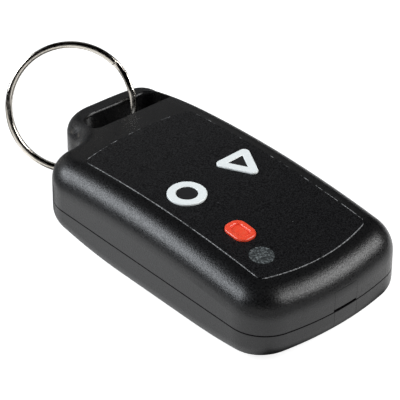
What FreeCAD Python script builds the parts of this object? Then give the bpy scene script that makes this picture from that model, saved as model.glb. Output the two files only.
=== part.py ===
"""Remote key fob: two moulded shells with a key-ring loop, label film, three keys,
circuit board with tact switches, coin cell and split ring.  Millimetres, +Z up.
The origin is on the flat underside, +Y points to the loop, X runs across the fob."""
import os
import math
import FreeCAD
import Part
from FreeCAD import Vector

# Case: overall sizes
body_width = 35.0
half_width = body_width / 2
bottom_end_y = -32.3
loop_root_y = 28.4
end_bow = 2.9
root_bow = 1.1
parting_z = 6.6
crown_top_z = 16.2
crown_radius = 219.0
nose_start_y = 20.4
nose_radius = 86.5
belly_flat_low_y = -13.0
belly_flat_high_y = 6.0
belly_radius = 92.0
bottom_corner_r = 7.4
shoulder_corner_r = 7.0
top_edge_r = 5.2
loop_edge_r = 3.2
under_edge_r = 3.2

# Case: walls and the joint between the shells
side_wall = 1.8
roof_wall = 1.9
floor_wall = 1.8
reveal_gap = 0.12
lip_wall = 0.85
lip_height = 1.1
lip_gap = 0.1
snap_r = 0.35
snap_length = 5.0
snap_clearance = 0.07
snap_ys = (-16.0, 16.0)
pry_slot_x = 0.7
pry_slot_width = 5.3
pry_slot_height = 0.55
inner_chamfer_roof = 1.6
inner_chamfer_floor = 1.1
tool_reach = 3.0
rib_thickness = 0.8
rib_drop = 1.1
rib_ys = (-7.6, 8.0)
rib_half_length = 11.0
floor_rib_ys = (-14.5, -20.0)

# Key-ring loop, on the right half of the upper end
loop_side_bar = 3.1
loop_left_x = -5.0
loop_left_y = 40.1
loop_right_y = 37.6
loop_bow = 0.3
loop_left_corner_r = 7.7
loop_right_corner_r = 5.2
loop_root_r = 4.5
loop_under_z = 4.9
loop_under_chamfer = 0.9
slot_left_x = -2.9
slot_right_x = half_width - loop_side_bar
slot_near_left_y = 28.3
slot_near_right_y = 27.3
slot_far_left_y = 34.85
slot_far_right_y = 33.05
slot_near_corner_r = 1.2
slot_far_right_corner_r = 3.0
slot_far_left_corner_r = 4.4
slot_edge_r = 0.6
slot_edge_lift = 0.07

# Label film
film_side_margin = 5.05
film_half_width = half_width - film_side_margin
film_top_y = 20.4
film_bottom_y = -25.0
film_top_bow = 1.55
film_bottom_bow = 2.2
film_corner_r = 1.6
film_thickness = 0.25
film_proud = 0.05
film_edge_gap = 0.06

# Keys
key_travel = 0.3
key_gap = 0.12
film_key_gap = 0.16
key_proud = 0.28
key_flange_margin = 0.75
key_stem_r = 1.6
key_flange_thickness = 0.8
key_flange_gap = 0.02
key_edge = 0.12
symbol_thickness = 0.8
symbol_centre_drop = 0.12
circle_margin = 6.05
circle_x = circle_margin - film_half_width
circle_y = -0.1
circle_r = 3.52
circle_hole_r = 1.95
triangle_margin = 5.55
triangle_x = film_half_width - triangle_margin
triangle_base_y = 3.6
triangle_apex_y = -4.6
triangle_half_base = 4.3
triangle_corner_r = 1.0
triangle_stroke = 1.55
red_margin = 5.9
red_x = red_margin - film_half_width
red_y = -13.85
red_width = 4.2
red_length = 5.45
red_corner_r = 1.75
red_rim = 1.0
red_rim_proud = 0.42
red_edge_r = 0.25
red_dish_proud = 0.1

# Indicator window and lamp
window_margin = 4.5
window_x = window_margin - film_half_width
window_y = -20.7
window_r = 2.2
window_gap = 0.05
window_flange_r = 2.75
window_flange_thickness = 0.7
lamp_r = 1.5
lamp_collar_r = 1.75
lamp_collar_height = 0.8
lamp_lead_size = 0.45
lamp_lead_pitch = 1.27
lamp_gap = 0.15
lamp_lead_xs = (window_x - lamp_lead_pitch, window_x + lamp_lead_pitch)

# Circuit board
board_side_gap = 1.0
board_half_width = half_width - side_wall - board_side_gap
board_top_y = 24.4
board_bottom_y = -28.0
board_corner_r = 6.5
board_thickness = 1.0
board_z = 7.2
boss_top_x = half_width - 5.7
boss_low_x = half_width - 4.9
screw_places = ((boss_top_x, 19.6), (-boss_low_x, -22.9))
pin_places = ((-boss_top_x, 19.6), (boss_low_x, -22.9))
boss_r = 2.1
screw_r = 0.8
screw_hole_r = 1.0
screw_head_r = 1.6
screw_head_height = 0.9
screw_length = 5.0
screw_recess_depth = 0.45
screw_recess_width = 0.35
pin_r = 0.7
pin_hole_r = 0.8
pin_length = 1.8
post_r = 1.3
post_side_x = half_width - 4.5
post_places = ((-post_side_x, -9.0), (post_side_x, -9.0), (0.0, -26.4), (0.0, 22.6))

# Tact switches
switch_size = 6.0
switch_body_height = 3.1
switch_cover_thickness = 0.3
switch_total_height = 4.3
switch_well_r = 2.3
switch_floor = 0.6
plunger_r = 1.7
plunger_flange_r = 2.1
plunger_flange_thickness = 0.6
plunger_gap = 0.05
plunger_nub_r = 0.9
plunger_rest_gap = 0.03
dome_thickness = 0.15
dome_rise = 0.6
dome_r = 2.1
dome_flat_r = 1.0
leg_width = 0.7
leg_thickness = 0.2
leg_reach = 1.0
leg_pitch = 4.5

# Coin cell and its contacts
cell_x = 0.0
cell_y = 4.0
cell_r = 10.0
cell_thickness = 3.2
cell_z = 3.4
cell_wall = 0.25
cell_seal = 0.4
cell_cap_r = 8.7
cell_cap_step = 0.35
clip_sheet = 0.3
clip_width = 7.0
clip_side_gap = 0.3
clip_foot = 1.6
contact_sheet = 0.2
contact_width = 3.0
contact_base = 4.0
contact_reach = 5.5
cradle_wall = 0.9
cradle_gap = 0.3
cradle_height = 2.6
cradle_angle = 50.0
cradle_middles = (90.0, -90.0)

# Parts on the board
chip_x = 6.0
chip_y = -9.6
chip_size = (4.9, 3.9, 1.5)
chip_lead_pitch = 1.27
chip_lead_width = 0.42
chip_lead_reach = 1.05
chip_standoff = 0.1
resonator_x = 7.2
resonator_y = -17.6
resonator_size = (5.0, 5.0, 1.4)
resonator_lid_inset = 0.3
resonator_base = 0.5
transistor_x = 0.2
transistor_y = -17.4
transistor_size = (1.3, 2.9, 1.0)
chip_part_size = (2.0, 1.25, 0.55)
cap_part_size = (2.0, 1.25, 0.8)
resistor_places = ((-1.2, -8.0), (-1.2, -10.5), (0.2, -22.0), (3.4, 7.4))
antenna_half_width = board_half_width - 1.2
antenna_top_y = 15.3
antenna_bottom_y = -16.0
antenna_corner_r = 3.0
antenna_width = 1.3
antenna_thickness = 0.1
antenna_part_gap = 0.6
tuning_x = antenna_half_width - antenna_width - antenna_part_gap - cap_part_size[0] / 2
capacitor_places = ((tuning_x, -9.6), (3.2, -21.9), (7.2, -22.6), (-1.0, -13.0), (0.0, 7.4))

# Split ring: two turns of flattened wire joined by one crossover
ring_outer_r = 12.2
ring_radial = 1.2
ring_axial = 0.88
ring_turn_gap = 0.06
wire_sides = 12
wire_fullness = 0.75
ring_cross_angle = 26.0
ring_end_gap_angle = 3.0
ring_cross_at = 30.5
ring_x = 0.5
ring_y = 39.93
ring_z = 11.59
ring_face_yaw = -134.5
ring_face_rise = 27.0

clear_top_z = crown_top_z + tool_reach
board_top_z = board_z + board_thickness
switch_top_z = board_top_z + switch_body_height


def prism(face, z_low, z_high):
    """Solid between two heights over a flat face drawn at z = 0."""
    solid = face.extrude(Vector(0, 0, z_high - z_low))
    solid.translate(Vector(0, 0, z_low))
    return solid


def outline_face(corners, bows=None):
    """Face from corner points; bows maps an edge's index to its arc's middle point."""
    bows = bows or {}
    edges = []
    for i, start in enumerate(corners):
        end = corners[(i + 1) % len(corners)]
        a = Vector(start[0], start[1], 0)
        b = Vector(end[0], end[1], 0)
        if i in bows:
            mid = Vector(bows[i][0], bows[i][1], 0)
            edges.append(Part.Arc(a, mid, b).toShape())
        else:
            edges.append(Part.LineSegment(a, b).toShape())
    return Part.Face(Part.Wire(edges))


def rounded_face(corners, radii, bows=None):
    """The same face with each corner rounded to its own radius."""
    block = prism(outline_face(corners, bows), 0, 1)
    for corner, radius in zip(corners, radii):
        if radius <= 0:
            continue
        edge = nearest_upright(block, corner)
        block = block.makeFillet(radius, [edge])
    for face in block.Faces:
        if face.CenterOfMass.z < 1e-6:
            return Part.Face(face.OuterWire)


def nearest_upright(block, corner):
    """The vertical edge of a prism that stands on a given corner."""
    def distance(edge):
        if len(edge.Vertexes) < 2:
            return 1e9
        p, q = edge.Vertexes[0].Point, edge.Vertexes[1].Point
        if math.hypot(p.x - q.x, p.y - q.y) > 1e-6:
            return 1e9
        return math.hypot(p.x - corner[0], p.y - corner[1])
    return min(block.Edges, key=distance)


def box(x0, x1, y0, y1, z0, z1):
    return Part.makeBox(x1 - x0, y1 - y0, z1 - z0, Vector(x0, y0, z0))


def disc(x, y, radius, z0, z1):
    return Part.makeCylinder(radius, z1 - z0, Vector(x, y, z0))


def crown_solid(drop):
    """All space under the crowned top, lowered by drop.  The crown is one long arc, and a
    tighter arc takes over towards the loop."""
    centre = Vector(0, 0, crown_top_z - crown_radius)
    join = math.asin(nose_start_y / crown_radius)

    def on_crown(angle):
        radius = crown_radius - drop
        return centre + Vector(0, radius * math.sin(angle), radius * math.cos(angle))

    def on_nose(angle):
        axis = centre + Vector(0, math.sin(join), math.cos(join)) * (crown_radius - nose_radius)
        radius = nose_radius - drop
        return axis + Vector(0, radius * math.sin(angle), radius * math.cos(angle))

    low_end = -math.asin(1.4 * half_width * 2 / crown_radius)
    high_end = join + math.asin(1.4 * half_width / nose_radius)
    start, end = on_crown(low_end), on_nose(high_end)
    below = Vector(0, 0, -crown_top_z)
    edges = [
        Part.Arc(start, on_crown((low_end + join) / 2), on_crown(join)).toShape(),
        Part.Arc(on_nose(join), on_nose((join + high_end) / 2), end).toShape(),
        Part.LineSegment(end, Vector(0, end.y, below.z)).toShape(),
        Part.LineSegment(Vector(0, end.y, below.z), Vector(0, start.y, below.z)).toShape(),
        Part.LineSegment(Vector(0, start.y, below.z), start).toShape(),
    ]
    section = Part.Face(Part.Wire(edges))
    section.translate(Vector(-body_width, 0, 0))
    return section.extrude(Vector(2 * body_width, 0, 0))


def belly_solid(lift):
    """All space over the underside, raised by lift.  The flat middle rests on the table, and
    a long arc lifts each end."""
    reach = loop_root_y
    top = parting_z + lip_height + tool_reach

    def point(join_y, over):
        side = 1 if join_y > 0 else -1
        return Vector(0, join_y + side * over,
                      belly_radius - math.sqrt((belly_radius - lift) ** 2 - over ** 2))

    def arc(join_y):
        return Part.Arc(point(join_y, 0), point(join_y, reach / 2), point(join_y, reach)).toShape()

    low_end, high_end = point(belly_flat_low_y, reach), point(belly_flat_high_y, reach)
    roof = Part.makePolygon([high_end, Vector(0, high_end.y, top), Vector(0, low_end.y, top), low_end])
    flat = Part.LineSegment(point(belly_flat_low_y, 0), point(belly_flat_high_y, 0)).toShape()
    edges = [flat, arc(belly_flat_high_y), arc(belly_flat_low_y)] + roof.Edges
    section = Part.Face(Part.Wire(Part.sortEdges(edges)[0]))
    section.translate(Vector(-body_width, 0, 0))
    return section.extrude(Vector(2 * body_width, 0, 0))


def crown_z(y):
    """Height of the crown over the film, where it is one arc."""
    return crown_top_z - crown_radius + math.sqrt(crown_radius ** 2 - y ** 2)


def capped(face, drop_top, z_low):
    """Upright prism from a height up to the crown lowered by drop_top."""
    return prism(face, z_low, clear_top_z).common(crown_solid(drop_top))


def body_face(inset):
    """Plan of the case without its loop, drawn inset from the outer wall."""
    hw = half_width - inset
    low = bottom_end_y + inset
    high = loop_root_y - inset
    corners = [(-hw, low + end_bow), (hw, low + end_bow), (hw, high - root_bow), (-hw, high - root_bow)]
    bows = {0: (0, low), 2: (0, high)}
    bottom_r = bottom_corner_r - inset
    top_r = shoulder_corner_r - inset
    return rounded_face(corners, [bottom_r, bottom_r, top_r, top_r], bows)


def loop_ends(inset):
    """Far corners of the loop and the middle of the bowed bar between them."""
    right = (half_width - inset, loop_right_y - inset)
    left = (loop_left_x + inset, loop_left_y - inset)
    middle = ((right[0] + left[0]) / 2, (right[1] + left[1]) / 2 + loop_bow)
    return right, left, middle


def case_face(inset):
    """Plan of the case with the loop on its right-hand shoulder."""
    hw = half_width - inset
    low = bottom_end_y + inset
    high = loop_root_y - inset
    right, left, bar_middle = loop_ends(inset)

    def root_y(x):
        return high - root_bow * (x / hw) ** 2

    middle_x = (left[0] - hw) / 2
    corners = [(-hw, low + end_bow), (hw, low + end_bow), right, left,
               (left[0], root_y(left[0])), (-hw, root_y(hw))]
    bows = {0: (0, low), 2: bar_middle, 4: (middle_x, root_y(middle_x))}
    radii = [bottom_corner_r - inset, bottom_corner_r - inset, loop_right_corner_r - inset,
             loop_left_corner_r - inset, loop_root_r + inset, shoulder_corner_r - inset]
    return rounded_face(corners, radii, bows)


def slot_face():
    corners = [(slot_left_x, slot_near_left_y), (slot_right_x, slot_near_right_y),
               (slot_right_x, slot_far_right_y), (slot_left_x, slot_far_left_y)]
    radii = [slot_near_corner_r, slot_near_corner_r, slot_far_right_corner_r, slot_far_left_corner_r]
    return rounded_face(corners, radii)


def film_face(inset):
    hw = film_half_width - inset
    top, low = film_top_y - inset, film_bottom_y + inset
    corners = [(-hw, low), (hw, low), (hw, top), (-hw, top)]
    bows = {0: (0, low - film_bottom_bow), 2: (0, top + film_top_bow)}
    return rounded_face(corners, [film_corner_r] * 4, bows)


def circle_face(grow):
    return disc_face(circle_x, circle_y, circle_r + grow)


def triangle_face(grow):
    """Triangle that points away from the loop; grow moves all three sides outwards."""
    rise = triangle_base_y - triangle_apex_y
    slant = math.hypot(rise, triangle_half_base)
    base_y = triangle_base_y + grow
    apex_y = triangle_apex_y - grow * slant / triangle_half_base
    half = (base_y - apex_y) * triangle_half_base / rise
    corners = [(triangle_x - half, base_y), (triangle_x, apex_y), (triangle_x + half, base_y)]
    radius = triangle_corner_r + grow
    if radius < 0.2:
        return outline_face(corners)
    return rounded_face(corners, [radius] * 3)


def red_face(grow):
    hw, hl = red_width / 2 + grow, red_length / 2 + grow
    corners = [(red_x - hw, red_y - hl), (red_x + hw, red_y - hl),
               (red_x + hw, red_y + hl), (red_x - hw, red_y + hl)]
    return rounded_face(corners, [red_corner_r + grow] * 4)


key_faces = {"circle": circle_face, "triangle": triangle_face, "red": red_face}
key_centres = {
    "circle": (circle_x, circle_y),
    "triangle": (triangle_x, (2 * triangle_base_y + triangle_apex_y) / 3),
    "red": (red_x, red_y),
}


def edges_at(shape, test):
    return [edge for edge in shape.Edges if test(edge)]


def crown_fillet(shape):
    """Round the rim of the crowned top: wide round the case, tighter round the loop."""
    def on_rim(edge):
        return edge.BoundBox.ZMin > parting_z + 2 and not standing(edge) and not across(edge)

    document = FreeCAD.newDocument("rim")
    base = document.addObject("Part::Feature", "block")
    base.Shape = shape
    rim = document.addObject("Part::Fillet", "round")
    rim.Base = base
    picks = []
    for number, edge in enumerate(shape.Edges, 1):
        if not on_rim(edge):
            continue
        radii = [rim_radius(vertex.Point) for vertex in edge.Vertexes]
        picks.append((number, radii[0], radii[-1]))
    rim.Edges = picks
    document.recompute()
    result = rim.Shape.copy()
    FreeCAD.closeDocument(document.Name)
    return result


def rim_radius(point):
    """Rim radius at a point: it narrows from the case's to the loop's along the root."""
    share = (point.y - nose_start_y) / (slot_far_left_y - nose_start_y)
    share = min(max(share, 0.0), 1.0)
    return top_edge_r + (loop_edge_r - top_edge_r) * share


def slot_tool():
    """Cutter for the ring slot, flared where it meets the top so that the mouth is round."""
    near_y = (slot_near_left_y + slot_near_right_y) / 2
    far_y = (slot_far_left_y + slot_far_right_y) / 2
    near_z, far_z = nose_z(near_y) + slot_edge_lift, nose_z(far_y) + slot_edge_lift
    slope = (far_z - near_z) / (far_y - near_y)

    def mouth_z(y):
        return near_z + slope * (y - near_y)

    low_y, high_y = slot_near_right_y - 2 * slot_edge_r, slot_far_left_y + 2 * slot_edge_r
    roof = clear_top_z
    slab = Part.Face(Part.makePolygon([
        Vector(slot_left_x - 2 * slot_edge_r, low_y, mouth_z(low_y)),
        Vector(slot_left_x - 2 * slot_edge_r, high_y, mouth_z(high_y)),
        Vector(slot_left_x - 2 * slot_edge_r, high_y, roof),
        Vector(slot_left_x - 2 * slot_edge_r, low_y, roof),
        Vector(slot_left_x - 2 * slot_edge_r, low_y, mouth_z(low_y))]))
    slab = slab.extrude(Vector(slot_right_x - slot_left_x + 4 * slot_edge_r, 0, 0))
    tool = slab.fuse(prism(slot_face(), loop_under_z - 1, roof - 1)).removeSplitter()

    def at_mouth(edge):
        p = edge.valueAt((edge.FirstParameter + edge.LastParameter) / 2)
        within = slot_left_x - 0.1 < p.x < slot_right_x + 0.1 and low_y + 0.2 < p.y < high_y - 0.2
        return within and abs(p.z - mouth_z(p.y)) < 1e-4

    return tool.makeFillet(slot_edge_r, edges_at(tool, at_mouth))


def nose_z(y):
    """Height of the nose arc that carries the crown down to the loop."""
    join = math.asin(nose_start_y / crown_radius)
    axis_y = math.sin(join) * (crown_radius - nose_radius)
    axis_z = crown_top_z - crown_radius + math.cos(join) * (crown_radius - nose_radius)
    return axis_z + math.sqrt(nose_radius ** 2 - (y - axis_y) ** 2)


def standing(edge):
    return edge.BoundBox.XLength < 0.01 and edge.BoundBox.YLength < 0.01


def across(edge):
    """True for the straight joins from one side wall to the other."""
    return edge.BoundBox.XLength > body_width - 2 * side_wall - 0.01 and edge.BoundBox.YLength < 0.01


def upper_cavity():
    room = prism(body_face(side_wall), parting_z - 1, crown_top_z).common(crown_solid(roof_wall))
    rim = edges_at(room, lambda edge: (
        edge.BoundBox.ZMin > parting_z + 2 and not standing(edge) and not across(edge)))
    return room.makeChamfer(inner_chamfer_roof, rim)


def under_roof(face, z_low):
    """Prism from z_low up into the roof, for bosses and ribs that hang from it."""
    return capped(face, roof_wall - 0.3, z_low)


def disc_face(x, y, radius):
    edge = Part.Circle(Vector(x, y, 0), Vector(0, 0, 1), radius).toShape()
    return Part.Face(Part.Wire([edge]))


def upper_shell():
    """Top moulding: crowned skin, loop, film recess, key holes, bosses, ribs and rebate."""
    shell = crown_fillet(prism(case_face(0), parting_z, clear_top_z).common(crown_solid(0)))
    shell = shell.cut(box(-body_width, body_width, -2 * body_width, 2 * body_width,
                          parting_z - 1, parting_z + reveal_gap))
    shell = shell.cut(slot_tool())
    shell = shell.cut(upper_cavity())
    rebate_inset = side_wall - lip_wall - lip_gap
    shell = shell.cut(prism(body_face(rebate_inset), parting_z - 1, parting_z + lip_height))
    shell = shell.fuse([under_roof(rib, ribs_z(y)) for y, rib in roof_ribs()])
    shell = shell.fuse([under_roof(disc_face(x, y, boss_r), board_top_z)
                        for x, y in screw_places + pin_places])
    shell = shell.fuse([disc(x, y, pin_r, board_top_z - pin_length, board_top_z + 1)
                        for x, y in pin_places])
    screw_bore = board_z + screw_length + 0.3
    shell = shell.cut([disc(x, y, screw_r, board_z, screw_bore) for x, y in screw_places])
    film_pocket = prism(film_face(-film_edge_gap), parting_z, clear_top_z)
    shell = shell.cut(film_pocket.cut(crown_solid(film_thickness - film_proud)))
    shell = shell.cut([prism(face(key_gap), board_top_z + tool_reach, clear_top_z)
                       for face in key_faces.values()])
    shell = shell.cut(disc(window_x, window_y, window_r + window_gap, board_top_z + tool_reach,
                           clear_top_z))
    shell = shell.cut(snap_bars(snap_r + snap_clearance, snap_length + 2 * snap_clearance))
    shell = shell.cut(box(pry_slot_x - pry_slot_width / 2, pry_slot_x + pry_slot_width / 2,
                          bottom_end_y - 1, bottom_end_y + side_wall - lip_wall,
                          parting_z - 1, parting_z + pry_slot_height))
    return shell.removeSplitter()


def ribs_z(y):
    return crown_z(y) - roof_wall - rib_drop


def roof_ribs():
    """Plan of each cross rib under the roof, with its place along the case."""
    half_x, half_y = rib_half_length, rib_thickness / 2
    return [(y, outline_face([(-half_x, y - half_y), (half_x, y - half_y),
                              (half_x, y + half_y), (-half_x, y + half_y)])) for y in rib_ys]


def snap_bars(radius, length):
    """Round bars along both side walls, half sunk in the outer face of the lip."""
    x = half_width - side_wall + lip_wall
    z = parting_z + lip_height / 2
    bars = [Part.makeCylinder(radius, length, Vector(side * x, y - length / 2, z), Vector(0, 1, 0))
            for side in (-1, 1) for y in snap_ys]
    return bars[0].fuse(bars[1:])


def lower_shell():
    """Bottom moulding: tray with lip and snaps, loop plate, board posts and cell cradle."""
    def low_rim(edge):
        return edge.BoundBox.ZMax < parting_z - 1 and not standing(edge) and not across(edge)

    tray = prism(body_face(0), 0, parting_z).common(belly_solid(0))
    tray = tray.makeFillet(under_edge_r, edges_at(tray, low_rim))
    plate = prism(case_face(0), loop_under_z, parting_z)
    plate = plate.common(box(-body_width, body_width, nose_start_y / 2, 2 * body_width, 0, parting_z))
    plate = plate.makeChamfer(loop_under_chamfer, edges_at(plate, lambda edge: (
        edge.BoundBox.ZMax < loop_under_z + 0.01 and edge.BoundBox.YMax > nose_start_y / 2 + 0.01)))
    shell = tray.fuse(plate).cut(prism(slot_face(), 0, parting_z + 1))
    outer = prism(body_face(side_wall - lip_wall), parting_z - 1, parting_z + lip_height)
    shell = shell.fuse(outer)
    room = prism(body_face(side_wall), 0, parting_z + lip_height + 1).common(belly_solid(floor_wall))
    shell = shell.cut(room.makeChamfer(inner_chamfer_floor, edges_at(room, low_rim)))
    shell = shell.fuse(snap_bars(snap_r, snap_length))
    shell = shell.fuse([disc(x, y, post_r, floor_wall - 0.2, board_z) for x, y in post_places])
    half_x, half_y = rib_half_length, rib_thickness / 2
    shell = shell.fuse([box(-half_x, half_x, y - half_y, y + half_y, floor_wall - 0.2,
                            floor_wall + rib_drop) for y in floor_rib_ys])
    shell = shell.fuse(cell_cradle())
    return shell.removeSplitter()


def cell_cradle():
    """Two upright arcs on the floor that keep the cell centred, clear of the strap."""
    inner = cell_r + cradle_gap
    walls = []
    for middle in cradle_middles:
        ring = Part.makeCylinder(inner + cradle_wall, cradle_height + 0.2,
                                 Vector(cell_x, cell_y, floor_wall - 0.2), Vector(0, 0, 1), cradle_angle)
        bore = disc(cell_x, cell_y, inner, floor_wall - 0.3, floor_wall + cradle_height + 0.1)
        wall = ring.cut(bore)
        wall.rotate(Vector(cell_x, cell_y, 0), Vector(0, 0, 1), middle - cradle_angle / 2)
        walls.append(wall)
    return walls


def label_film():
    """Thin printed film on the crown, cut out for the keys and the lamp window."""
    film = prism(film_face(0), parting_z, clear_top_z)
    film = film.common(crown_solid(-film_proud)).cut(crown_solid(film_thickness - film_proud))
    holes = [prism(face(film_key_gap), parting_z, clear_top_z) for face in key_faces.values()]
    holes.append(disc(window_x, window_y, window_r + window_gap, parting_z, clear_top_z))
    return film.cut(holes)


def led_window():
    face = disc_face(window_x, window_y, window_r)
    pane = capped(face, -film_proud, crown_z(window_y) - roof_wall - window_flange_thickness)
    flange = capped(disc_face(window_x, window_y, window_flange_r), roof_wall,
                    crown_z(window_y) - roof_wall - window_flange_thickness)
    return pane.fuse(flange).removeSplitter()


def key_blank(name, proud):
    """One key without its top detail: head in the hole, flange under the roof, round stem."""
    face = key_faces[name]
    x, y = key_centres[name]
    flange_z = crown_z(y) - roof_wall - key_flange_gap - key_flange_thickness
    head = capped(face(0), -proud, flange_z)
    flange = capped(face(key_flange_margin), roof_wall + key_flange_gap, flange_z)
    stem = disc(x, y, key_stem_r, board_top_z + switch_total_height, flange_z + 0.3)
    return head.fuse([flange, stem]).removeSplitter()


def symbol_solid(name, inner_face):
    """White outline moulded round the top of a key, with softened outer and inner edges."""
    top = crown_z(key_centres[name][1]) + key_proud
    ring = prism(key_faces[name](0), top - symbol_thickness, top)
    ring = ring.cut(prism(inner_face, parting_z, clear_top_z))
    return ring.makeChamfer(key_edge, edges_at(ring, lambda edge: edge.BoundBox.ZMin > top - 0.01))


def symbol_key(name, inner_face):
    """Dark key under a white outline: the outline's seat is cut away round its centre."""
    y = key_centres[name][1]
    key = key_blank(name, key_proud - symbol_centre_drop)
    seat_z = crown_z(y) + key_proud - symbol_thickness
    collar = prism(key_faces[name](1), seat_z, clear_top_z)
    return key.cut(collar.cut(prism(inner_face, parting_z, clear_top_z)))


def red_key():
    """Square red key with a raised rim round a shallow dish."""
    key = key_blank("red", red_rim_proud)
    dish = prism(red_face(-red_rim), parting_z, clear_top_z).cut(crown_solid(-red_dish_proud))
    key = key.cut(dish)

    def on_rim(edge):
        middle = edge.CenterOfMass
        return middle.z > crown_z(middle.y) + red_rim_proud / 2 and not standing(edge)

    return key.makeFillet(red_edge_r, edges_at(key, on_rim))


def revolved(points, x, y):
    """Solid of revolution about the upright line through x, y from (radius, z) points."""
    wire = Part.makePolygon([Vector(r, 0, z) for r, z in points + points[:1]])
    solid = Part.Face(wire).revolve(Vector(0, 0, 0), Vector(0, 0, 1), 360)
    solid.translate(Vector(x, y, 0))
    return solid


def switch_base(x, y):
    base = box(x - switch_size / 2, x + switch_size / 2, y - switch_size / 2, y + switch_size / 2,
               board_top_z, switch_top_z)
    corners = edges_at(base, standing)
    base = base.makeChamfer(0.3, corners)
    return base.cut(disc(x, y, switch_well_r, board_top_z + switch_floor, switch_top_z + 1))


def switch_cover(x, y):
    half = switch_size / 2
    cover = box(x - half, x + half, y - half, y + half, switch_top_z,
                switch_top_z + switch_cover_thickness)
    cover = cover.makeChamfer(0.3, edges_at(cover, standing))
    return cover.cut(disc(x, y, plunger_r + plunger_gap, switch_top_z - 1, switch_top_z + 1))


def switch_dome(x, y):
    """Thin snap dome on the floor of the switch well: flat middle and sloped skirt."""
    floor = board_top_z + switch_floor
    top = floor + dome_rise
    points = [(0, top), (dome_flat_r, top), (dome_r, floor + dome_thickness / 2), (dome_r, floor),
              (dome_r - 2 * dome_thickness, floor), (dome_flat_r, top - dome_thickness),
              (0, top - dome_thickness)]
    return revolved(points, x, y)


def plunger(x, y):
    """Switch plunger: head through the cover, flange under it, nub above the dome."""
    top = board_top_z + switch_total_height
    flange_top = switch_top_z - plunger_gap
    nub_z = board_top_z + switch_floor + dome_rise + key_travel + plunger_rest_gap
    points = [(0, nub_z), (plunger_nub_r, nub_z), (plunger_nub_r, flange_top - plunger_flange_thickness),
              (plunger_flange_r, flange_top - plunger_flange_thickness), (plunger_flange_r, flange_top),
              (plunger_r, flange_top), (plunger_r, top), (0, top)]
    return revolved(points, x, y)


def swept_strip(points, y_low, width):
    """Bent strip: a closed outline in X and Z, extruded along Y."""
    wire = Part.makePolygon([Vector(x, y_low, z) for x, z in points + points[:1]])
    return Part.Face(wire).extrude(Vector(0, width, 0))


def switch_leg(x, y, side):
    """Gull-wing leg against one side of a switch base, with its foot on the board."""
    face = switch_size / 2
    profile = [(face, board_top_z), (face + leg_reach, board_top_z),
               (face + leg_reach, board_top_z + leg_thickness),
               (face + leg_thickness, board_top_z + leg_thickness),
               (face + leg_thickness, board_top_z + switch_floor), (face, board_top_z + switch_floor)]
    return swept_strip([(x + side * px, pz) for px, pz in profile], y - leg_width / 2, leg_width)


def switch_legs():
    return Part.makeCompound([switch_leg(x, y + step, side) for x, y in key_centres.values()
                              for side in (-1, 1) for step in (-leg_pitch / 2, leg_pitch / 2)])


def circuit_board():
    corners = [(-board_half_width, board_bottom_y), (board_half_width, board_bottom_y),
               (board_half_width, board_top_y), (-board_half_width, board_top_y)]
    board = prism(rounded_face(corners, [board_corner_r] * 4), board_z, board_top_z)
    holes = [disc(x, y, screw_hole_r, board_z - 1, board_top_z + 1) for x, y in screw_places]
    holes += [disc(x, y, pin_hole_r, board_z - 1, board_top_z + 1) for x, y in pin_places]
    holes += [disc(x, window_y, lamp_lead_size, board_z - 1, board_top_z + 1) for x in lamp_lead_xs]
    return board.cut(holes)


def board_screw(x, y):
    """Pan-head screw driven up through the board, with a cross recess."""
    under = board_z - screw_head_height
    points = [(0, under), (screw_head_r - 0.4, under), (screw_head_r, under + 0.4),
              (screw_head_r, board_z), (screw_r, board_z), (screw_r, board_z + screw_length),
              (0, board_z + screw_length)]
    screw = revolved(points, x, y)
    arm, half = screw_head_r * 0.6, screw_recess_width / 2
    top = under + screw_recess_depth
    return screw.cut([box(x - arm, x + arm, y - half, y + half, under - 1, top),
                      box(x - half, x + half, y - arm, y + arm, under - 1, top)])


def encoder_chip():
    length, width, height = chip_size
    low = board_top_z + chip_standoff
    chip = box(chip_x - length / 2, chip_x + length / 2, chip_y - width / 2, chip_y + width / 2,
               low, low + height)
    top = edges_at(chip, lambda edge: edge.BoundBox.ZMin > low + height - 0.01)
    chip = chip.makeChamfer(0.2, top)
    return chip.cut(disc(chip_x - length / 2 + 0.8, chip_y - width / 2 + 0.8, 0.35, low + height - 0.08,
                         low + height + 1))


def encoder_leads():
    """Eight gull-wing leads, four along each long side of the chip."""
    width = chip_size[1] / 2
    low = board_top_z
    knee = low + chip_standoff + chip_size[2] / 2
    out = width + chip_lead_reach
    profile = [(width, knee), (width + 0.4, knee), (width + 0.55, low + 0.2), (out, low + 0.2),
               (out, low), (width + 0.4, low), (width + 0.25, knee - 0.2), (width, knee - 0.2)]
    leads = []
    for side in (-1, 1):
        for step in range(4):
            x = chip_x + (step - 1.5) * chip_lead_pitch - chip_lead_width / 2
            wire = Part.makePolygon([Vector(x, chip_y + side * py, pz)
                                     for py, pz in profile + profile[:1]])
            leads.append(Part.Face(wire).extrude(Vector(chip_lead_width, 0, 0)))
    return Part.makeCompound(leads)


def saw_resonator():
    """Ceramic base with a slightly smaller metal lid on it."""
    length, width, height = resonator_size
    base = box(resonator_x - length / 2, resonator_x + length / 2, resonator_y - width / 2,
               resonator_y + width / 2, board_top_z, board_top_z + resonator_base)
    half_l, half_w = length / 2 - resonator_lid_inset, width / 2 - resonator_lid_inset
    lid = box(resonator_x - half_l, resonator_x + half_l, resonator_y - half_w, resonator_y + half_w,
              board_top_z + resonator_base - 0.1, board_top_z + height)
    lid = lid.makeFillet(0.35, edges_at(lid, lambda edge: (
        edge.BoundBox.ZMin > board_top_z + resonator_base)))
    return base.fuse(lid).removeSplitter()


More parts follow.
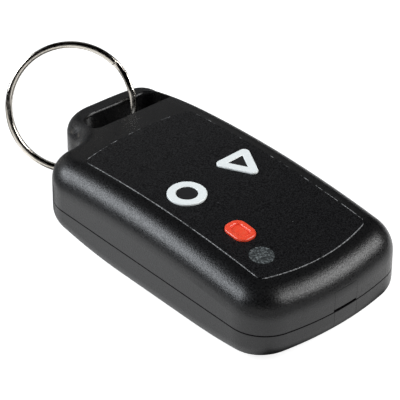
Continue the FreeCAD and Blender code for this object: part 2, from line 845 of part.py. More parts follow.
def rf_transistor():
    """Small three-lead package: two leads on one side and one on the other."""
    width, length, height = transistor_size
    low = board_top_z + chip_standoff
    body = box(transistor_x - width / 2, transistor_x + width / 2, transistor_y - length / 2,
               transistor_y + length / 2, low, low + height)
    body = body.makeChamfer(0.15, edges_at(body, lambda edge: edge.BoundBox.ZMin > low + height - 0.01))
    leads = [swept_strip([(transistor_x + side * px, pz) for px, pz in
                          [(width / 2 - 0.1, low + 0.45), (width / 2 + 0.2, low + 0.45),
                           (width / 2 + 0.3, board_top_z + 0.15), (width / 2 + 0.55, board_top_z + 0.15),
                           (width / 2 + 0.55, board_top_z), (width / 2 + 0.15, board_top_z),
                           (width / 2 + 0.05, low + 0.3), (width / 2 - 0.1, low + 0.3)]],
                         transistor_y + step - 0.2, 0.4)
             for side, step in ((-1, -0.95), (-1, 0.95), (1, 0))]
    return body.fuse(leads).removeSplitter()


def chip_part(x, y, size):
    """Ceramic chip part with slightly larger soldered ends."""
    length, width, height = size
    middle = box(x - length / 2, x + length / 2, y - width / 2 + 0.04, y + width / 2 - 0.04,
                 board_top_z + 0.04, board_top_z + height - 0.04)
    ends = [box(min(x + side * length / 2, x + side * (length / 2 - 0.4)),
                max(x + side * length / 2, x + side * (length / 2 - 0.4)),
                y - width / 2, y + width / 2, board_top_z, board_top_z + height) for side in (-1, 1)]
    return middle.fuse(ends).removeSplitter()


def antenna_trace():
    """Printed loop aerial round three sides of the board's top face."""
    def track(grow):
        hw = antenna_half_width + grow
        corners = [(-hw, board_bottom_y), (hw, board_bottom_y),
                   (hw, antenna_top_y + grow), (-hw, antenna_top_y + grow)]
        return prism(rounded_face(corners, [0, 0, antenna_corner_r + grow, antenna_corner_r + grow]),
                     board_top_z, board_top_z + antenna_thickness)
    band = track(0).cut(track(-antenna_width))
    return band.common(box(-body_width, body_width, antenna_bottom_y, body_width, board_z, crown_top_z))


def status_lamp():
    """Three-millimetre lamp with a round top under the window."""
    top = crown_z(window_y) - roof_wall - window_flange_thickness - lamp_gap
    collar = disc(window_x, window_y, lamp_collar_r, board_top_z, board_top_z + lamp_collar_height)
    bulb = disc(window_x, window_y, lamp_r, board_top_z, top - lamp_r)
    dome = Part.makeSphere(lamp_r, Vector(window_x, window_y, top - lamp_r))
    return collar.fuse([bulb, dome]).removeSplitter()


def lamp_leads():
    half = lamp_lead_size / 2
    return Part.makeCompound([box(x - half, x + half, window_y - half, window_y + half,
                                  board_z - 1, board_top_z) for x in lamp_lead_xs])


def coin_cell_can():
    """Positive can: a shallow cup with an eased lower edge."""
    top = cell_z + cell_thickness - cell_cap_step
    low = cell_z + cell_wall
    points = [(0, cell_z), (cell_r - 0.2, cell_z), (cell_r, cell_z + 0.2), (cell_r, top),
              (cell_r - cell_wall, top), (cell_r - cell_wall, low), (0, low)]
    return revolved(points, cell_x, cell_y)


def coin_cell_seal():
    """Insulating gasket between the can and the cap."""
    low = cell_z + cell_wall
    top = cell_z + cell_thickness - cell_cap_step
    outer, inner = cell_r - cell_wall, cell_r - cell_wall - cell_seal
    return revolved([(0, low), (outer, low), (outer, top), (inner, top),
                     (inner, low + cell_wall), (0, low + cell_wall)], cell_x, cell_y)


def coin_cell_cap():
    """Negative cap and what it closes in."""
    low = cell_z + 2 * cell_wall
    step = cell_z + cell_thickness - cell_cap_step
    top = cell_z + cell_thickness
    rim = cell_r - cell_wall - cell_seal
    return revolved([(0, low), (rim, low), (rim, step), (cell_cap_r, step),
                     (cell_cap_r - 0.2, top - 0.1), (cell_cap_r - 0.35, top), (0, top)], cell_x, cell_y)


def battery_clip():
    """Positive strap: runs under the cell and up both sides to feet on the board."""
    inner = cell_r + clip_side_gap
    outer = inner + clip_sheet
    low = cell_z - clip_sheet
    profile = [(-outer, low), (outer, low), (outer, board_z - clip_sheet),
               (outer + clip_foot, board_z - clip_sheet), (outer + clip_foot, board_z), (inner, board_z),
               (inner, cell_z), (-inner, cell_z), (-inner, board_z), (-outer - clip_foot, board_z),
               (-outer - clip_foot, board_z - clip_sheet), (-outer, board_z - clip_sheet)]
    return swept_strip([(cell_x + x, z) for x, z in profile], cell_y - clip_width / 2, clip_width)


def battery_contact():
    """Leaf spring from the board's underside that presses on the cap."""
    base, cap_z = board_z - contact_sheet, cell_z + cell_thickness
    start = cell_y + contact_reach
    profile = [(start + contact_base / 2, board_z), (start + contact_base / 2, base),
               (start - contact_base / 2, base), (cell_y + 0.4, cap_z), (cell_y - 0.4, cap_z),
               (cell_y - 1.4, cap_z + 0.2), (cell_y - 1.4, cap_z + 0.2 + contact_sheet),
               (cell_y - 0.4, cap_z + contact_sheet), (cell_y + 0.4, cap_z + contact_sheet),
               (start - contact_base / 2, board_z)]
    wire = Part.makePolygon([Vector(cell_x - contact_width / 2, y, z) for y, z in profile + profile[:1]])
    return Part.Face(wire).extrude(Vector(contact_width, 0, 0))


def wire_section(layer):
    """Section of the split ring's flattened wire at one height along the ring's axis."""
    middle = ring_outer_r - ring_radial / 2

    def full(value):
        return math.copysign(abs(value) ** wire_fullness, value)

    reach = full(math.cos(math.pi / wire_sides))
    points = []
    for side in range(wire_sides):
        angle = 2 * math.pi * (side + 0.5) / wire_sides
        points.append(Vector(middle + ring_radial / 2 * full(math.cos(angle)) / reach, 0,
                             layer + ring_axial / 2 * full(math.sin(angle)) / reach))
    return Part.makePolygon(points + points[:1])


def split_ring():
    """Two turns of flattened wire in two layers, joined by one crossover."""
    layer = (ring_axial + ring_turn_gap) / 2
    start = ring_cross_at - ring_cross_angle / 2
    turn = 360 - ring_cross_angle - ring_end_gap_angle
    axis, origin = Vector(0, 0, 1), Vector(0, 0, 0)

    def arc(z, first):
        face = Part.Face(wire_section(z))
        face.rotate(origin, axis, first)
        return face.revolve(origin, axis, turn)

    steps = 6
    sections = []
    for i in range(steps + 1):
        share = i / steps
        ease = share * share * (3 - 2 * share)
        wire = wire_section(layer - 2 * layer * ease)
        wire.rotate(origin, axis, start + share * ring_cross_angle)
        sections.append(wire)
    crossover = Part.makeLoft(sections, True, True)
    ring = arc(layer, start - turn).fuse([crossover, arc(-layer, start + ring_cross_angle)])
    yaw, rise = math.radians(ring_face_yaw), math.radians(ring_face_rise)
    normal = Vector(math.cos(rise) * math.cos(yaw), math.cos(rise) * math.sin(yaw), math.sin(rise))
    level = Vector(-math.sin(yaw), math.cos(yaw), 0)
    turned = FreeCAD.Rotation(level, normal.cross(level), normal)
    ring.Placement = FreeCAD.Placement(Vector(ring_x, ring_y, ring_z), turned)
    return ring


circle_inner = disc_face(circle_x, circle_y, circle_hole_r)
triangle_inner = triangle_face(-triangle_stroke)

os.makedirs("parts", exist_ok=True)
nodes = {
    "upper_shell": upper_shell(),
    "lower_shell": lower_shell(),
    "label_film": label_film(),
    "led_window": led_window(),
    "circle_key": symbol_key("circle", circle_inner),
    "circle_symbol": symbol_solid("circle", circle_inner),
    "triangle_key": symbol_key("triangle", triangle_inner),
    "triangle_symbol": symbol_solid("triangle", triangle_inner),
    "red_key": red_key(),
    "switch_legs": switch_legs(),
    "circuit_board": circuit_board(),
    "board_screws": Part.makeCompound([board_screw(x, y) for x, y in screw_places]),
    "encoder_chip": encoder_chip(),
    "encoder_leads": encoder_leads(),
    "saw_resonator": saw_resonator(),
    "rf_transistor": rf_transistor(),
    "chip_resistors": Part.makeCompound([chip_part(x, y, chip_part_size) for x, y in resistor_places]),
    "chip_capacitors": Part.makeCompound([chip_part(x, y, cap_part_size) for x, y in capacitor_places]),
    "antenna_trace": antenna_trace(),
    "status_lamp": status_lamp(),
    "lamp_leads": lamp_leads(),
    "coin_cell_can": coin_cell_can(),
    "coin_cell_seal": coin_cell_seal(),
    "coin_cell_cap": coin_cell_cap(),
    "battery_clip": battery_clip(),
    "battery_contact": battery_contact(),
    "split_ring": split_ring(),
}
for key_name, (key_x, key_y) in key_centres.items():
    nodes[key_name + "_plunger"] = plunger(key_x, key_y)
    nodes[key_name + "_switch_base"] = switch_base(key_x, key_y)
    nodes[key_name + "_switch_cover"] = switch_cover(key_x, key_y)
    nodes[key_name + "_switch_dome"] = switch_dome(key_x, key_y)

for node_name, shape in nodes.items():
    print(node_name, shape.isValid(), len(shape.Solids), round(shape.Volume, 2))
    shape.exportStep("parts/" + node_name + ".step")
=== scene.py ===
# %% [markdown]
# Remote key fob on a white table.
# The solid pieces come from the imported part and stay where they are.  Here each one gets the
# finish of the real thing, and the lamps, table and camera of a small product studio are set.

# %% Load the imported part
import bpy
import bmesh
from mathutils import Matrix, Vector

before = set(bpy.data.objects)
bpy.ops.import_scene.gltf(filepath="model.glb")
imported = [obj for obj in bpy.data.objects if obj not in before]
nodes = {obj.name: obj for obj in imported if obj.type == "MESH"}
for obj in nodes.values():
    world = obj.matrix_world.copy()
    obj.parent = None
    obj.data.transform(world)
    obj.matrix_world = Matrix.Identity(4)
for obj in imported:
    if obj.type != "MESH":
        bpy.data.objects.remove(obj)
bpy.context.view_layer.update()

print("pieces from the part:", len(nodes))

# %% [markdown]
# Colours are written as the hex values that a paint picker shows.  Blender's shaders work
# with linear light, so one function turns a hex value into the linear numbers they need.

# %% Colour helper
MM = 0.001


def linear(hex_colour, alpha=1.0):
    """Linear RGBA of an sRGB hex value."""
    channels = [int(hex_colour[i:i + 2], 16) / 255 for i in (1, 3, 5)]
    light = [c / 12.92 if c <= 0.04045 else ((c + 0.055) / 1.055) ** 2.4 for c in channels]
    return (*light, alpha)


# %% [markdown]
# Every finish is a node tree.  One helper starts a material with its shader, and one adds a
# node with its settings and links, so that a recipe below reads as a list of steps.  The values
# of a noise node seldom leave the middle of its range, so the recipes stretch that middle.

# %% Material helpers
NOISE_LOW, NOISE_HIGH = 0.35, 0.65


def start_material(name, colour, roughness, metallic=0.0, **sockets):
    """New material with a Principled shader; sockets are other inputs that stay constant."""
    material = bpy.data.materials.new(name)
    material.use_nodes = True
    shader = material.node_tree.nodes["Principled BSDF"]
    shader.inputs["Base Color"].default_value = linear(colour)
    shader.inputs["Roughness"].default_value = roughness
    shader.inputs["Metallic"].default_value = metallic
    for key, value in sockets.items():
        shader.inputs[key.replace("_", " ")].default_value = value
    return material, shader


def add(material, kind, settings=None, inputs=None, to=None):
    """Adds one node: settings are its properties, inputs its values or links, to its target."""
    tree = material.node_tree
    node = tree.nodes.new(kind)
    for key, value in (settings or {}).items():
        setattr(node, key, value)
    for key, value in (inputs or {}).items():
        if isinstance(value, bpy.types.NodeSocket):
            tree.links.new(value, node.inputs[key])
        else:
            node.inputs[key].default_value = value
    if to is not None:
        out = next(o for o in node.outputs if o.enabled)
        tree.links.new(out, to)
    return node


def place(material):
    """Where a point is on the object, in metres: the coordinates every pattern starts from."""
    return add(material, "ShaderNodeTexCoord").outputs["Object"]


def grain(material, where, size_mm, detail=2.0, **inputs):
    """Noise whose blobs are about size_mm across."""
    values = {"Vector": where, "Scale": 1 / (size_mm * MM), "Detail": detail, **inputs}
    return add(material, "ShaderNodeTexNoise", None, values).outputs["Fac"]


def ramp(material, fac, stops):
    """Colour ramp from (position, hex) stops."""
    node = add(material, "ShaderNodeValToRGB", None, {"Fac": fac})
    band = node.color_ramp
    while len(band.elements) < len(stops):
        band.elements.new(0.5)
    for element, (position, colour) in zip(band.elements, stops):
        element.position = position
        element.color = linear(colour)
    return node.outputs["Color"]


def spread(material, fac, low, high, out_low, out_high):
    """Maps a value from low..high to out_low..out_high and keeps it inside them."""
    inputs = {"Value": fac, "From Min": low, "From Max": high,
              "To Min": out_low, "To Max": out_high}
    return add(material, "ShaderNodeMapRange", None, inputs).outputs["Result"]


def calc(material, operation, a, b=0.0):
    """One step of arithmetic on two values."""
    return add(material, "ShaderNodeMath", {"operation": operation}, {0: a, 1: b}).outputs[0]


def cover(material, fac, under, over):
    """Colour under where fac is 0 and over where it is 1."""
    inputs = {"Factor": fac, "A": under, "B": over}
    return add(material, "ShaderNodeMix", {"data_type": "RGBA"}, inputs).outputs["Result"]


def drive(material, value, shader, socket):
    """Lets a pattern set one socket of the shader."""
    material.node_tree.links.new(value, shader.inputs[socket])


def millimetres(material, where):
    """The three coordinates of a point in millimetres."""
    axes = add(material, "ShaderNodeSeparateXYZ", None, {"Vector": where})
    return [calc(material, "DIVIDE", axes.outputs[name], MM) for name in "XYZ"]


def bump(material, shader, height, depth_mm, normal=None):
    """Raises the surface by height (0..1) times depth_mm."""
    inputs = {"Height": height, "Distance": depth_mm * MM, "Strength": 1.0}
    if normal is not None:
        inputs["Normal"] = normal
    return add(material, "ShaderNodeBump", None, inputs, shader.inputs["Normal"]).outputs["Normal"]


# %% [markdown]
# Close up, a used fob shows small marks.  Specks of dust lie on the case and on its label: they
# are round dots far apart, taken from the cells of a Voronoi pattern.  The insert of a mould
# leaves a thin seam, which is drawn as a line along a rectangle.

# %% Dust and seams
def dust(material, where, spacing_mm, radius_mm, share):
    """1 on dots of radius_mm, spacing_mm apart, of which only a share is kept."""
    cells = add(material, "ShaderNodeTexVoronoi", {"feature": "F1"},
                {"Vector": where, "Scale": 1 / (spacing_mm * MM)})
    reach = radius_mm / spacing_mm
    dot = spread(material, cells.outputs["Distance"], 0.6 * reach, reach, 1.0, 0.0)
    pick = add(material, "ShaderNodeSeparateColor", None, {"Color": cells.outputs["Color"]})
    return calc(material, "MULTIPLY", dot, calc(material, "LESS_THAN", pick.outputs["Red"], share))


def outline_line(material, u, v, centre, half, width_mm):
    """1 on a thin line along a rectangle in u and v, all in millimetres."""
    past = []
    for value, middle, reach in zip((u, v), centre, half):
        offset = calc(material, "ABSOLUTE", calc(material, "SUBTRACT", value, middle))
        past.append(calc(material, "SUBTRACT", offset, reach))
    away = calc(material, "ABSOLUTE", calc(material, "MAXIMUM", *past))
    return spread(material, away, 0.4 * width_mm, width_mm, 1.0, 0.0)


# %% [markdown]
# The case is ABS moulded in a spark-eroded tool.  The tool's fine pits give it a satin face:
# light spreads into soft bands on the rounded edges, and the grain shows in them.  The real
# pits are about 0.05 mm, too fine for this picture, so they are drawn at 0.25 mm.  The seam of
# a mould insert frames the middle of the bottom end wall.  No light comes back out of that seam
# or out of the gap between the two shells, so both lose their gloss and show as dark lines.

# %% Case plastic
INSERT_CENTRE, INSERT_HALF, SEAM_WIDTH = (0.85, 6.7), (2.65, 4.0), 0.09
END_WALL_Y = -24.0
PARTING_Z, PARTING_HALF = 6.66, 0.16
PIT_SIZE, PIT_DEPTH, DRIFT_SIZE = 0.25, 0.028, 9.0
CASE_ROUGH, CASE_GLOSS, GAP_GLOSS = (0.27, 0.42), 0.43, 0.02
CASE_DUST, CASE_DUST_COVER = {"spacing_mm": 3.4, "radius_mm": 0.12, "share": 0.14}, 0.8


def case_plastic():
    """Satin black ABS with its pits, dust, insert seam and the gap between the shells."""
    material, shader = start_material("satin_black_abs", "#0d0d0e", 0.35, IOR=1.53,
                                      Specular_IOR_Level=CASE_GLOSS)
    where = place(material)
    x, y, z = millimetres(material, where)
    pits = grain(material, where, PIT_SIZE, 1.0)
    drift = grain(material, where, DRIFT_SIZE, 2.0)
    mottle = calc(material, "MULTIPLY", calc(material, "ADD", pits, drift), 0.5)
    face = ramp(material, spread(material, mottle, NOISE_LOW, NOISE_HIGH, 0.0, 1.0),
                [(0.0, "#0a0a0b"), (1.0, "#111112")])
    specks = calc(material, "MULTIPLY", dust(material, where, **CASE_DUST), CASE_DUST_COVER)
    drive(material, cover(material, specks, face, linear("#b4b8ba")), shader, "Base Color")

    frame_line = outline_line(material, x, z, INSERT_CENTRE, INSERT_HALF, SEAM_WIDTH)
    seam = calc(material, "MULTIPLY", frame_line, calc(material, "LESS_THAN", y, END_WALL_Y))
    from_parting = calc(material, "ABSOLUTE", calc(material, "SUBTRACT", z, PARTING_Z))
    parting = spread(material, from_parting, 0.5 * PARTING_HALF, 1.3 * PARTING_HALF, 1.0, 0.0)
    gap = calc(material, "MAXIMUM", calc(material, "MULTIPLY", seam, 0.6), parting)
    gloss = spread(material, gap, 0.0, 1.0, CASE_GLOSS, GAP_GLOSS)
    drive(material, gloss, shader, "Specular IOR Level")
    rough = spread(material, pits, NOISE_LOW, NOISE_HIGH, *CASE_ROUGH)
    drive(material, rough, shader, "Roughness")
    relief = calc(material, "SUBTRACT", pits, calc(material, "MULTIPLY", seam, 0.5))
    bump(material, shader, relief, PIT_DEPTH)
    return material


# %% [markdown]
# The label is a polycarbonate film printed black on its back, with a velvet top.  It is the
# darkest face of the fob, and the tops of its velvet grain glint.  Where its cut edge catches
# light, a thin painted highlight is drawn into its colour, broken where the film sits deeper, so
# the painted line is worked out from the distance to the film's own outline: two straight sides,
# and two ends that bow outwards.

# %% Distance to the film's edge
FILM_HALF = 12.45
FILM_TOP, FILM_TOP_BOW = 20.4, 1.55
FILM_LOW, FILM_LOW_BOW = -25.0, 2.2


def film_edge_distance(material, x, y):
    """Distance in millimetres from a point of the film to its outline."""
    across = calc(material, "DIVIDE", x, FILM_HALF)
    arch = calc(material, "SUBTRACT", 1.0, calc(material, "MULTIPLY", across, across))
    top = calc(material, "ADD", calc(material, "MULTIPLY", arch, FILM_TOP_BOW), FILM_TOP)
    low = calc(material, "SUBTRACT", FILM_LOW, calc(material, "MULTIPLY", arch, FILM_LOW_BOW))
    side = calc(material, "SUBTRACT", FILM_HALF, calc(material, "ABSOLUTE", x))
    ends = calc(material, "MINIMUM", calc(material, "SUBTRACT", top, y),
                calc(material, "SUBTRACT", y, low))
    return calc(material, "MINIMUM", side, ends)


# %% [markdown]
# The velvet's real grain is about 0.1 mm and is drawn at 0.22 mm, so that it shows.  The painted
# edge highlight is stronger toward the lower left, where the film's edge faces the left lamp.

# %% Label film
VELVET_SIZE, VELVET_DEPTH, VELVET_GLOSS = 0.22, 0.012, (0.16, 0.62)
# Width, fade and strength of the painted highlight along the cut edge, and how it breaks up.
EDGE_HIGHLIGHT_WIDTH, EDGE_FADE, EDGE_HIGHLIGHT_STRENGTH = 0.1, 0.04, 0.45
BREAK_SIZE, BREAK_LEVEL, LEFT_LAMP_GAIN = 1.3, 0.54, 0.24
GLINT_SIZE = 0.35
FILM_DUST, FILM_DUST_COVER = {"spacing_mm": 2.1, "radius_mm": 0.1, "share": 0.2}, 0.7


def label_film():
    """Black velvet film with dust and a painted highlight along its cut edge."""
    material, shader = start_material("velvet_polycarbonate_film", "#0f0f10", 0.42, IOR=1.5,
                                      Specular_IOR_Level=0.35)
    where = place(material)
    x, y, _ = millimetres(material, where)
    velvet = grain(material, where, VELVET_SIZE, 3.0)
    face = ramp(material, velvet, [(0.4, "#050506"), (0.6, "#18181a")])
    specks = calc(material, "MULTIPLY", dust(material, where, **FILM_DUST), FILM_DUST_COVER)
    dusty = cover(material, specks, face, linear("#8a8c8e"))

    # Painted highlight: a light line in the base colour along the cut edge, stronger toward the left
    # lamp.
    from_edge = film_edge_distance(material, x, y)
    near_edge = spread(material, from_edge, EDGE_HIGHLIGHT_WIDTH, EDGE_HIGHLIGHT_WIDTH + EDGE_FADE, 1.0, 0.0)
    toward_left = calc(material, "ADD", calc(material, "MULTIPLY", x, -1.0),
                       calc(material, "MULTIPLY", y, -0.6))
    left_lamp_side = spread(material, toward_left, -10.0, 6.0, 0.0, 1.0)
    level = calc(material, "SUBTRACT", BREAK_LEVEL, calc(material, "MULTIPLY", left_lamp_side, LEFT_LAMP_GAIN))
    broken = calc(material, "SUBTRACT", grain(material, where, BREAK_SIZE, 3.0), level)
    shown = spread(material, broken, 0.0, 0.1, 0.0, EDGE_HIGHLIGHT_STRENGTH)
    glint = spread(material, grain(material, where, GLINT_SIZE, 1.0), 0.38, 0.68, 0.5, 2.0)
    painted_edge_highlight = calc(material, "MULTIPLY", near_edge, calc(material, "MULTIPLY", shown, glint))
    drive(material, cover(material, painted_edge_highlight, dusty, linear("#b9babb")), shader, "Base Color")
    gloss = spread(material, velvet, 0.4, 0.62, *VELVET_GLOSS)
    drive(material, gloss, shader, "Specular IOR Level")
    bump(material, shader, velvet, VELVET_DEPTH)
    return material


# %% [markdown]
# Small moulded parts share one recipe: a base colour that drifts a little, and a face that is
# rougher or smoother from place to place.  Each call names its plastic and its grain size.

# %% Other plastics
def moulded(name, dark, light, roughness, grain_mm, depth_mm, **sockets):
    """Moulded plastic between two close colours, with a grain of grain_mm."""
    material, shader = start_material(name, light, roughness, **sockets)
    where = place(material)
    texture = grain(material, where, grain_mm, 3.0)
    drive(material, ramp(material, texture, [(0.3, dark), (0.7, light)]), shader, "Base Color")
    rough = spread(material, grain(material, where, grain_mm * 7), 0.3, 0.7,
                   roughness - 0.05, roughness + 0.05)
    drive(material, rough, shader, "Roughness")
    bump(material, shader, texture, depth_mm)
    return material


# %% [markdown]
# Metals differ by how they were finished: the ring is bright nickel plate, springs and cans
# are rolled sheet with faint scratches, and leads are tinned.  The ring's wire is rolled from
# round stock, so its edges are shaded as rounded ones.

# %% Metals
def plated(name, colour, shade, roughness, scratch_mm, depth_mm, round_mm=0.0):
    """Metal with faint scratches; round_mm shades its edges as rounded by that much."""
    material, shader = start_material(name, colour, roughness, 1.0)
    where = place(material)
    stretched = add(material, "ShaderNodeMapping", None, {"Vector": where, "Scale": (1.0, 0.12, 1.0)})
    lines = grain(material, stretched.outputs["Vector"], scratch_mm, 2.0)
    drive(material, ramp(material, lines, [(0.3, shade), (0.7, colour)]), shader, "Base Color")
    rough = spread(material, lines, 0.3, 0.7, roughness * 0.7, roughness * 1.4)
    drive(material, rough, shader, "Roughness")
    edges = None
    if round_mm:
        edges = add(material, "ShaderNodeBevel", {"samples": 8},
                    {"Radius": round_mm * MM}).outputs["Normal"]
    bump(material, shader, lines, depth_mm, edges)
    return material


# %% [markdown]
# The lamp window is a smoky diffuser under the film: grey, mottled by the frosting behind it.

# %% Lamp window
def smoked_window():
    """Grey diffuser with the frosting behind it."""
    material, shader = start_material("smoked_polycarbonate", "#55595a", 0.4, IOR=1.58)
    where = place(material)
    frost = grain(material, where, 0.36, 2.0)
    colour = ramp(material, frost, [(0.36, "#2a2d2e"), (0.52, "#404445"), (0.66, "#747a7b")])
    drive(material, colour, shader, "Base Color")
    bump(material, shader, frost, 0.01)
    return material


# %% [markdown]
# The board is glass-epoxy laminate under green solder mask.  The weave of the glass shows as
# a faint cross pattern of about 0.5 mm.

# %% Board laminate
WEAVE_PITCH, WAVE_TURN = 0.5, 6.28


def laminate():
    """Green glass-epoxy board with its weave."""
    material, shader = start_material("green_fr4_laminate", "#2b6a3c", 0.35, IOR=1.5)
    where = place(material)
    waves = []
    for direction in ("X", "Y"):
        inputs = {"Vector": where, "Scale": 1 / (WEAVE_PITCH * MM) / WAVE_TURN, "Distortion": 0.6}
        waves.append(add(material, "ShaderNodeTexWave", {"bands_direction": direction},
                         inputs).outputs["Fac"])
    weave = calc(material, "MULTIPLY", *waves)
    drive(material, ramp(material, weave, [(0.0, "#235a33"), (1.0, "#32774a")]), shader, "Base Color")
    bump(material, shader, weave, 0.01)
    return material


# %% [markdown]
# Now each material is made once and given to the nodes that are made of it.

# %% Give every node its finish
case_black = case_plastic()
film_black = label_film()
key_black = moulded("key_black_abs", "#161618", "#202022", 0.38, 0.3, 0.006, IOR=1.53)
symbol_white = moulded("symbol_white_abs", "#f2f8f8", "#fafefd", 0.42, 0.4, 0.004, IOR=1.53)
signal_red = moulded("signal_red_abs", "#fd4529", "#ff5c3e", 0.35, 0.5, 0.0015, IOR=1.53,
                     Coat_Weight=0.6, Coat_Roughness=0.2)
black_nylon = moulded("black_glass_nylon", "#1b1b1d", "#2b2b2e", 0.6, 0.3, 0.01, IOR=1.53)
plunger_grey = moulded("acetal_plunger", "#3a3a3d", "#4a4a4e", 0.4, 0.3, 0.006, IOR=1.48)
epoxy_black = moulded("black_mould_epoxy", "#1a1a1b", "#28282a", 0.65, 0.2, 0.01, IOR=1.55)
seal_nylon = moulded("natural_nylon", "#c9c5b4", "#ddd9ca", 0.5, 0.5, 0.006, IOR=1.53)
lamp_red = moulded("tinted_lamp_epoxy", "#a8281f", "#cf3a2e", 0.15, 0.8, 0.002, IOR=1.55)
resistor_dark = moulded("resistor_ceramic", "#1f1f22", "#2d2d31", 0.5, 0.2, 0.005, IOR=1.7)
capacitor_tan = moulded("capacitor_ceramic", "#a88a66", "#bd9f7c", 0.45, 0.2, 0.005, IOR=1.7)
window_grey = smoked_window()
board_green = laminate()
ring_nickel = plated("bright_nickel_plate", "#f2ece2", "#e4ddd1", 0.12, 0.5, 0.002, round_mm=0.4)
spring_steel = plated("rolled_spring_steel", "#c9c9c6", "#b5b5b2", 0.3, 0.2, 0.004)
cell_steel = plated("cell_steel", "#c6c8c9", "#adafb0", 0.25, 0.25, 0.004)
tinned = plated("tinned_copper", "#d2d3d3", "#b9baba", 0.35, 0.2, 0.006)
screw_zinc = plated("zinc_plated_screw", "#c2c4c8", "#a2a4a8", 0.32, 0.2, 0.005)
trace_gold = plated("gold_flash_trace", "#d7a94e", "#b98b38", 0.3, 0.2, 0.004)

finishes = {
    case_black: ["upper_shell", "lower_shell"],
    film_black: ["label_film"],
    key_black: ["circle_key", "triangle_key"],
    symbol_white: ["circle_symbol", "triangle_symbol"],
    signal_red: ["red_key"],
    black_nylon: ["circle_switch_base", "triangle_switch_base", "red_switch_base"],
    plunger_grey: ["circle_plunger", "triangle_plunger", "red_plunger"],
    epoxy_black: ["encoder_chip", "rf_transistor"],
    seal_nylon: ["coin_cell_seal"],
    lamp_red: ["status_lamp"],
    resistor_dark: ["chip_resistors"],
    capacitor_tan: ["chip_capacitors"],
    window_grey: ["led_window"],
    board_green: ["circuit_board"],
    ring_nickel: ["split_ring"],
    spring_steel: ["battery_clip", "battery_contact", "circle_switch_cover", "triangle_switch_cover",
                   "red_switch_cover", "circle_switch_dome", "triangle_switch_dome", "red_switch_dome"],
    cell_steel: ["coin_cell_can", "coin_cell_cap"],
    tinned: ["switch_legs", "encoder_leads", "lamp_leads", "saw_resonator"],
    screw_zinc: ["board_screws"],
    trace_gold: ["antenna_trace"],
}
for material, names in finishes.items():
    for name in names:
        slots = nodes[name].data.materials
        slots.clear()
        slots.append(material)
finished = {name for names in finishes.values() for name in names}
print("finishes:", len(finishes), "on", len(finished), "pieces")
print("nodes without a finish:", sorted(set(nodes) - finished))

# %% [markdown]
# The table is one white sheet, large enough to fill the picture.  Most of its brightness is
# its own, seen by the camera and by mirror-like faces, so that it is white as in a cut-out
# product photo.  The rest is lit by the lamps, so the fob's soft shadow still shows.
# Mirror-like faces see the white only as a painted pool of light round the fob: a painted shadow
# beneath it, where none comes, painted shade behind the loop, where little comes, and a hand's
# width away the sheet turns grey for them.  That leaves the dark line over the walls and the dark
# lines along the ring's wire.  The sheet lies a hair below zero, because the flat underside of
# the fob is at zero.

# %% What the table shows
TABLE_HALF, TABLE_DROP = 3.0, 0.02 * MM
TABLE_WHITE, TABLE_GREY, OWN_LIGHT = "#bcbcbc", "#505050", 0.85
FULL_REACH, LAST_REACH = 0.05, 0.12
FOB_MIDDLE_Y, FOB_HALF_X, FOB_HALF_Y = 0.0035, 0.0165, 0.0365
BEHIND_Y, BEHIND_SHARE = (0.041, 0.048), 0.25


def painted_light_pool(material, where):
    """Painted pool of light: 1 on the table round the fob, 0 under it as painted shadow and far away,
    and low behind the loop as painted shade.
    """
    axes = add(material, "ShaderNodeSeparateXYZ", None, {"Vector": where})
    x = axes.outputs["X"]
    y = calc(material, "SUBTRACT", axes.outputs["Y"], FOB_MIDDLE_Y)
    past_side = calc(material, "SUBTRACT", calc(material, "ABSOLUTE", x), FOB_HALF_X)
    past_end = calc(material, "SUBTRACT", calc(material, "ABSOLUTE", y), FOB_HALF_Y)
    outside = calc(material, "MAXIMUM", past_side, past_end)
    away = calc(material, "SQRT", calc(material, "ADD", calc(material, "MULTIPLY", x, x),
                                       calc(material, "MULTIPLY", y, y)))
    pool = calc(material, "MULTIPLY", spread(material, outside, -2 * MM, 2 * MM, 0.0, 1.0),
                spread(material, away, FULL_REACH, LAST_REACH, 1.0, 0.0))
    return calc(material, "MULTIPLY", pool, spread(material, y, *BEHIND_Y, 1.0, BEHIND_SHARE))


def white_table():
    """White sheet that glows for the camera and, inside the painted pool of light, for mirrors."""
    material, shader = start_material("white_table", TABLE_WHITE, 0.9)
    # Painted light: for mirrors the glow comes only in a pool round the fob, with a painted shadow
    # beneath it.
    pool = painted_light_pool(material, place(material))
    path = add(material, "ShaderNodeLightPath").outputs
    mirrored = calc(material, "MAXIMUM", path["Is Glossy Ray"], path["Is Transmission Ray"])
    seen = calc(material, "MAXIMUM", path["Is Camera Ray"], calc(material, "MULTIPLY", mirrored, pool))
    unseen = calc(material, "MULTIPLY", mirrored, calc(material, "SUBTRACT", 1.0, pool))
    colour = cover(material, unseen, linear(TABLE_WHITE), linear(TABLE_GREY))
    drive(material, colour, shader, "Base Color")
    shader.inputs["Emission Color"].default_value = linear("#ffffff")
    drive(material, calc(material, "MULTIPLY", seen, OWN_LIGHT), shader, "Emission Strength")
    return material


# %% Table
def table_top():
    """One flat square, which is no part of the fob."""
    mesh = bpy.data.meshes.new("table_top")
    sheet = bmesh.new()
    bmesh.ops.create_grid(sheet, x_segments=1, y_segments=1, size=TABLE_HALF)
    bmesh.ops.translate(sheet, verts=sheet.verts, vec=(0, 0, -TABLE_DROP))
    sheet.to_mesh(mesh)
    sheet.free()
    mesh.materials.append(white_table())
    table = bpy.data.objects.new("table_top", mesh)
    bpy.context.scene.collection.objects.link(table)
    return table


table = table_top()
print("table, m:", [round(v, 2) for v in table.dimensions])

# %% [markdown]
# Light: two soft boxes stand left and right of the camera's line of sight.  Their mirror
# images make the two soft bands on the rounded rim, with the dark corner between them.

# %% Lamps
BOX_DISTANCE = 0.7
LEFT_DIRECTION = Vector((-0.61, 0.57, 0.51))
RIGHT_DIRECTION = Vector((0.56, -0.56, 0.61))


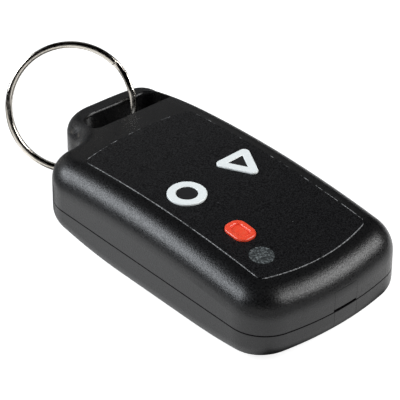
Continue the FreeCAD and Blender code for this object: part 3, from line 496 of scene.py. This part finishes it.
def soft_box(name, direction, width, height, watts, colour):
    """Flat rectangular lamp that stands in a direction from the fob and faces it."""
    light = bpy.data.lights.new(name, "AREA")
    light.shape = "RECTANGLE"
    light.size, light.size_y = width, height
    light.energy = watts
    light.color = linear(colour)[:3]
    lamp = bpy.data.objects.new(name, light)
    lamp.location = direction.normalized() * BOX_DISTANCE
    lamp.rotation_euler = direction.to_track_quat("Z", "Y").to_euler()
    bpy.context.scene.collection.objects.link(lamp)
    return lamp


boxes = [soft_box("left_box", LEFT_DIRECTION, 0.54, 0.34, 4.8, "#f4f9ff"),
         soft_box("right_box", RIGHT_DIRECTION, 0.56, 0.34, 4.1, "#ffffff")]
print("lamps:", {box.name: round(box.data.energy, 2) for box in boxes})

# %% [markdown]
# The room is white low down and dark above, so the top of the fob stays black and its walls
# mirror the white table.  The white reaches a little higher behind the camera, where the flat
# of the ring mirrors it.  Two faint glows stand on the far side: the top of the fob mirrors one
# of them, and the loop the other.  Each glow is given by the direction it is measured along,
# where it starts and ends on that scale, and its strength.

# %% Room
NEAR_GLOW = ((0.24, 0.265, 1.0), -0.01, -0.1, 0.95)
FAR_GLOW = ((0.609, 0.710, 0.355), 0.93, 1.0, 0.28)
BACK_GLOW = ((-0.151, 0.956, 0.252), 0.87, 0.97, 0.45)


def room_glow(tree, heading, toward, start, end, strength):
    """Light that grows from 0 to its strength as the view turns toward a direction."""
    along = tree.nodes.new("ShaderNodeVectorMath")
    along.operation = "DOT_PRODUCT"
    along.inputs[1].default_value = toward
    tree.links.new(heading, along.inputs[0])
    rise = tree.nodes.new("ShaderNodeMapRange")
    rise.interpolation_type = "SMOOTHSTEP"
    tree.links.new(along.outputs["Value"], rise.inputs["Value"])
    limits = {"From Min": start, "From Max": end, "To Min": 0.0, "To Max": strength}
    for socket, value in limits.items():
        rise.inputs[socket].default_value = value
    return rise.outputs["Result"]


world = bpy.data.worlds.new("studio_room")
bpy.context.scene.world = world
world.use_nodes = True
room = world.node_tree
heading = room.nodes.new("ShaderNodeTexCoord").outputs["Generated"]
total = room_glow(room, heading, *NEAR_GLOW)
for glow in (FAR_GLOW, BACK_GLOW):
    adding = room.nodes.new("ShaderNodeMath")
    room.links.new(total, adding.inputs[0])
    room.links.new(room_glow(room, heading, *glow), adding.inputs[1])
    total = adding.outputs["Value"]
room.links.new(total, room.nodes["Background"].inputs["Strength"])
room.nodes["Background"].inputs["Color"].default_value = (1, 1, 1, 1)
print("strengths of the room's glows:", [glow[-1] for glow in (NEAR_GLOW, FAR_GLOW, BACK_GLOW)])

# %% [markdown]
# The camera stands where the photograph was taken from: found by matching the outline of the
# case, its film and its keys.  Its place, its three directions and its lens are given.

# %% Camera
CAMERA_PLACE = (-0.238293, -0.260571, 0.262274)
CAMERA_RIGHT = Vector((0.74425, -0.66789, 0.00355))
CAMERA_UP = Vector((0.38421, 0.43247, 0.81569))
CAMERA_BACK = Vector((-0.54632, -0.60572, 0.57848))
SENSOR_WIDTH, LENS = 36.0, 222.2

camera_data = bpy.data.cameras.new("photo_camera")
camera_data.sensor_width, camera_data.lens = SENSOR_WIDTH, LENS
camera_data.clip_start, camera_data.clip_end = 0.01, 10.0
camera = bpy.data.objects.new("photo_camera", camera_data)
turn = Matrix((CAMERA_RIGHT, CAMERA_UP, CAMERA_BACK)).transposed()
camera.matrix_world = Matrix.Translation(CAMERA_PLACE) @ turn.to_4x4()
bpy.context.scene.collection.objects.link(camera)
bpy.context.scene.camera = camera
bpy.context.scene.view_settings.view_transform = "Standard"
print("camera to fob, mm:", round(1000 * Vector(CAMERA_PLACE).length))
